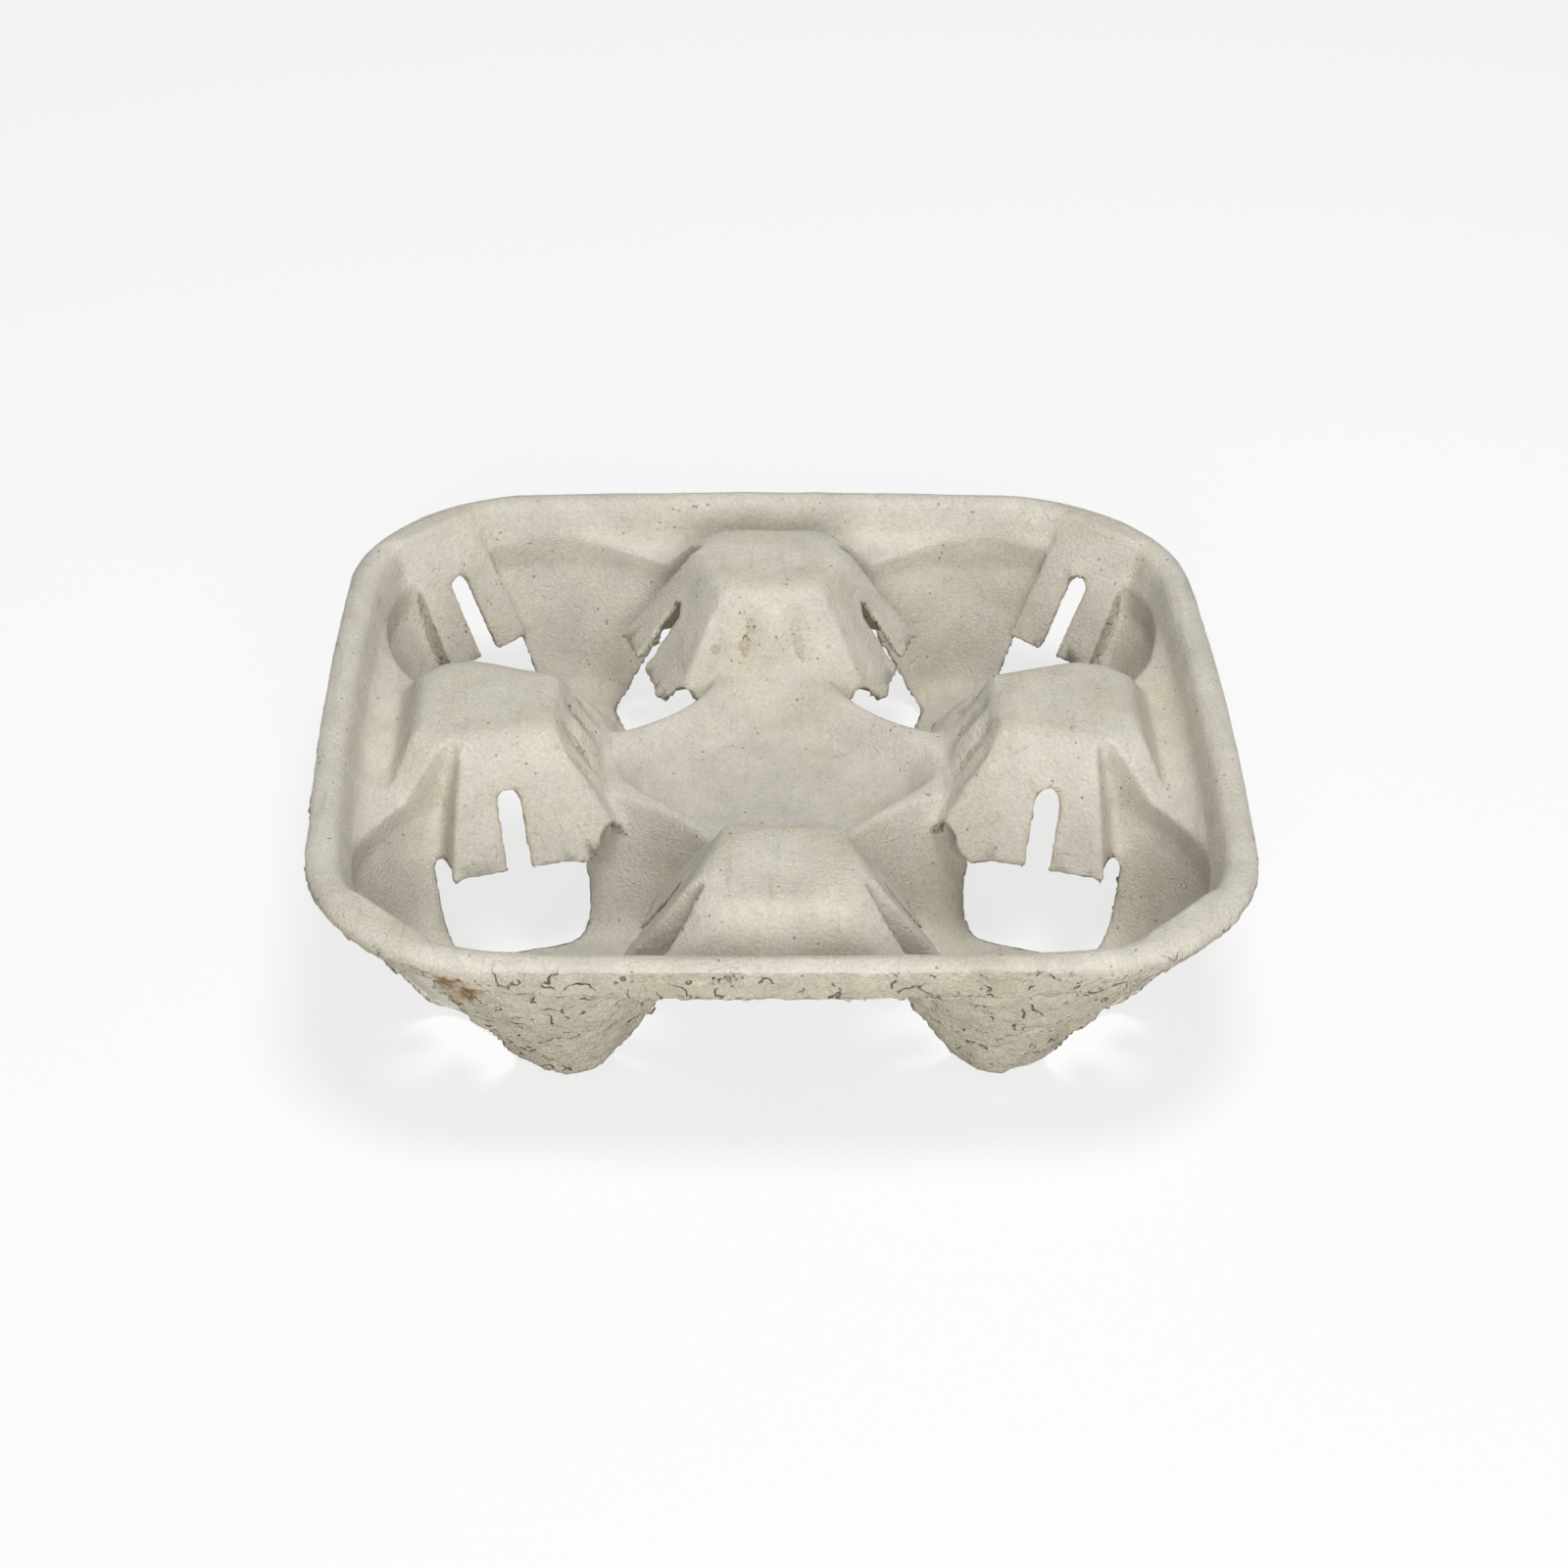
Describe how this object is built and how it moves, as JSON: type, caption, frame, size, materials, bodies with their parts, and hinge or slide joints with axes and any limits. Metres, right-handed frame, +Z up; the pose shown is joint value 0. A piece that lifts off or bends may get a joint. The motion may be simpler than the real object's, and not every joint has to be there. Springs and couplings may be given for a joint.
{
  "type": "moulded pulp cup carrier tray",
  "caption": "Square moulded-pulp carrier tray with a slotted, spring-flapped pocket for a cup in each corner and a small bowl in the middle.",
  "frame": {"origin": "the centre of the tray on the plane that its feet stand on", "axes": "+Z up out of the open pockets, +X and +Y towards two neighbouring straight sides"},
  "size_m": [0.2148, 0.2148, 0.0485],
  "materials": {
    "pulp": "matt, fibrous"
  },
  "bodies": {
    "root": {"cup_carrier": "pulp"}
  },
  "joints": []
}
